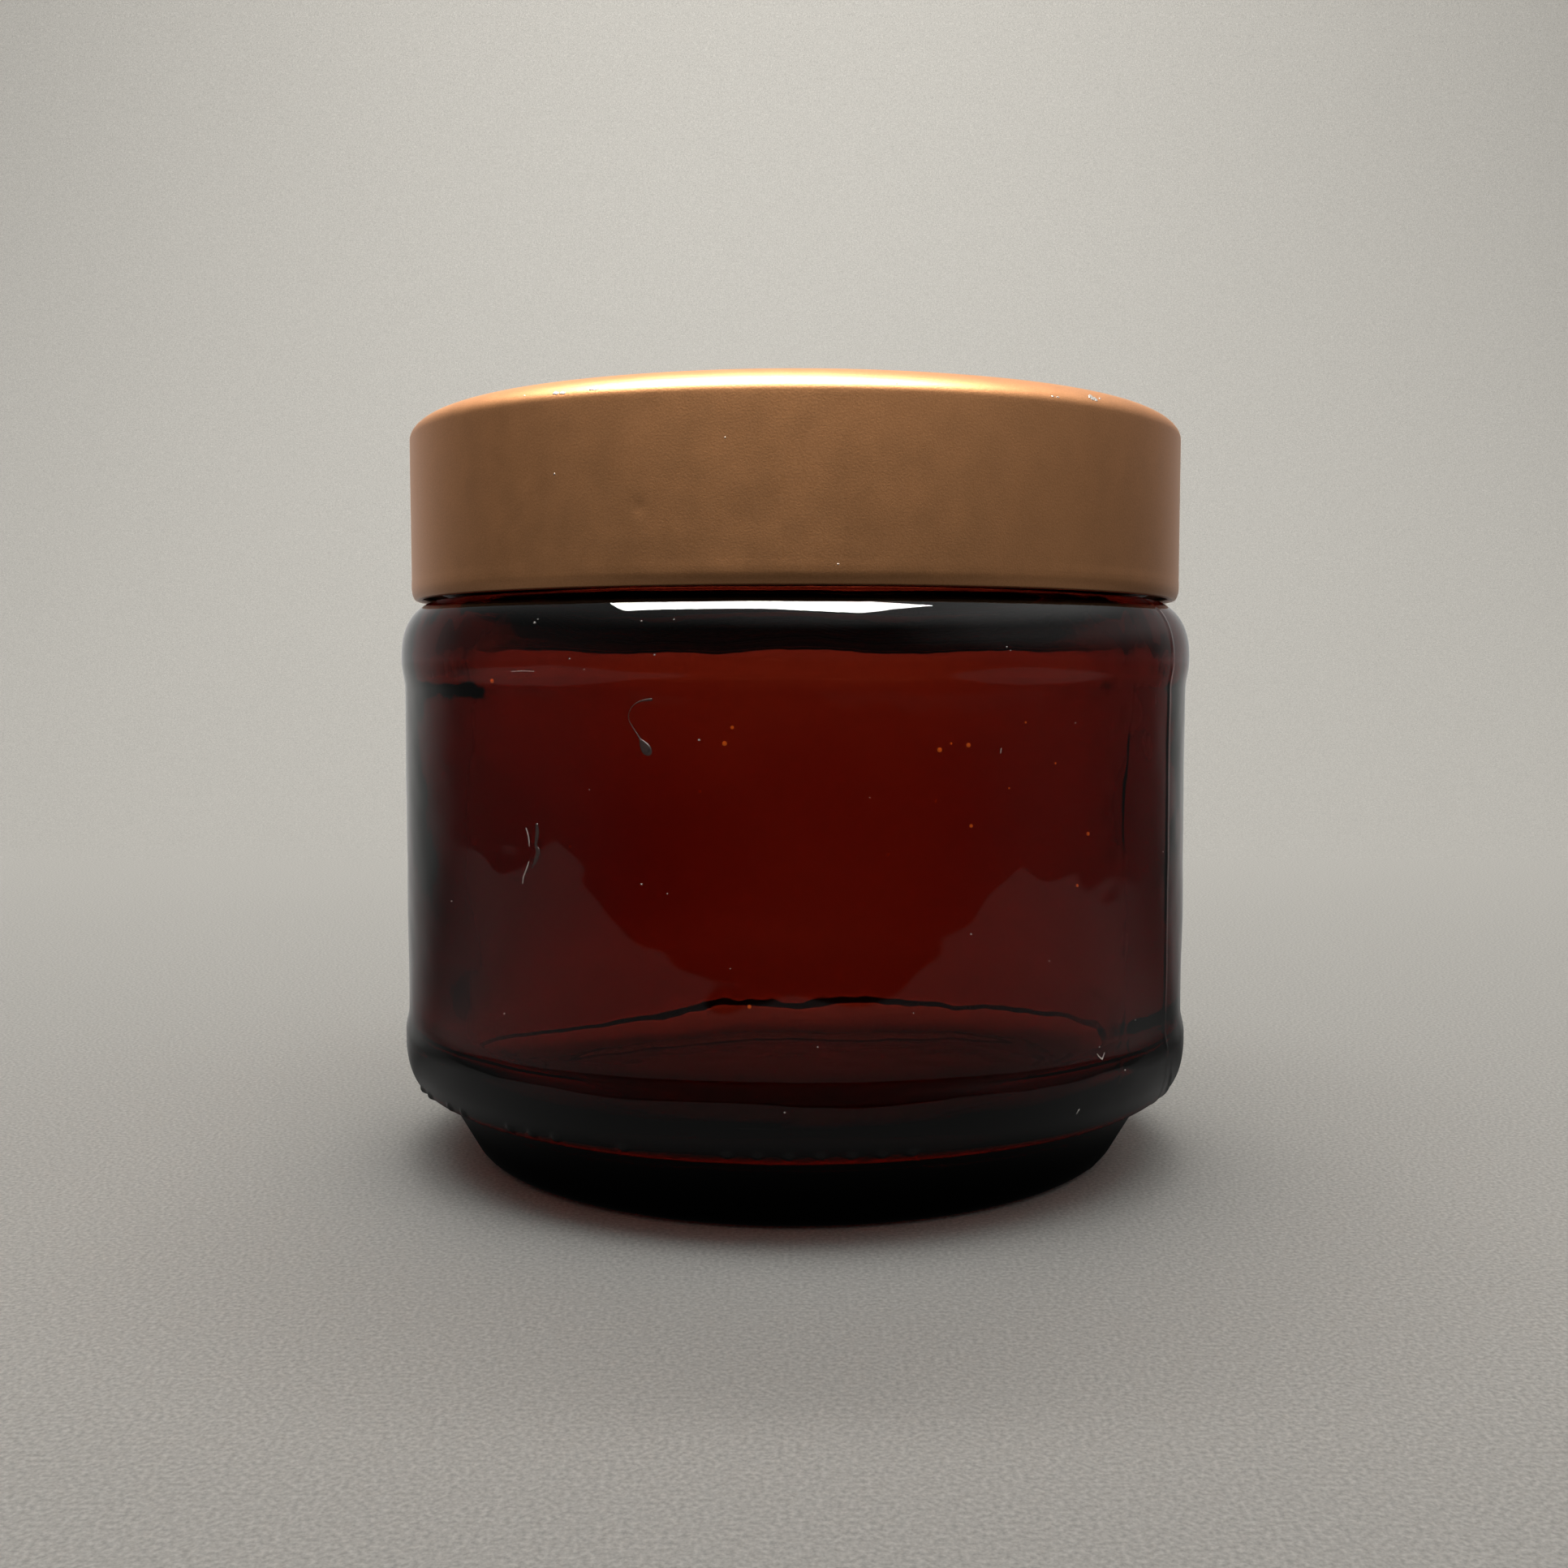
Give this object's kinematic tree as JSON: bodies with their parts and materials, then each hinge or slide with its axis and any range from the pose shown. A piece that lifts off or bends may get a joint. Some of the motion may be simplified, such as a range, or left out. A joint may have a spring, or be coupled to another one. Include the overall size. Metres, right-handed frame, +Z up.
{
  "type": "cosmetic cream jar",
  "caption": "Thick-walled amber glass cream jar with beaded shoulder and heel, stepped foot, and a screw-on satin copper metal lid.",
  "frame": {"origin": "centre of the bearing ring under the foot, on the surface the jar stands on", "axes": "+Z up along the jar's axis, from the foot to the lid; +X to the right and +Y away from a viewer facing the front"},
  "size_m": [0.0806, 0.0806, 0.0742],
  "materials": {
    "amber_glass": "glossy amber, slightly wavy inside",
    "copper_shell": "satin copper lacquer on aluminium",
    "insert_plastic": "moulded black polypropylene, satin",
    "liner_foam": "white foamed polyethylene wad"
  },
  "bodies": {
    "jar": {"glass_jar": "amber_glass"},
    "wad": {"lid_liner": "liner_foam"},
    "lid": {"lid_shell": "copper_shell", "lid_insert": "insert_plastic"}
  },
  "joints": [
    {"name": "lid_rise", "type": "slide", "parent": "jar", "child": "wad", "axis": [0, 0, 1], "range_m": [0, 0.0211]},
    {"name": "lid_twist", "type": "hinge", "parent": "wad", "child": "lid", "pos_m": [0, 0, 0.0709], "axis": [0, 0, 1], "range_deg": [0, 1800]}
  ],
  "couplings": [
    {"joint": "lid_rise", "follows": "lid_twist", "m_per_rad": 0.00066845}
  ]
}
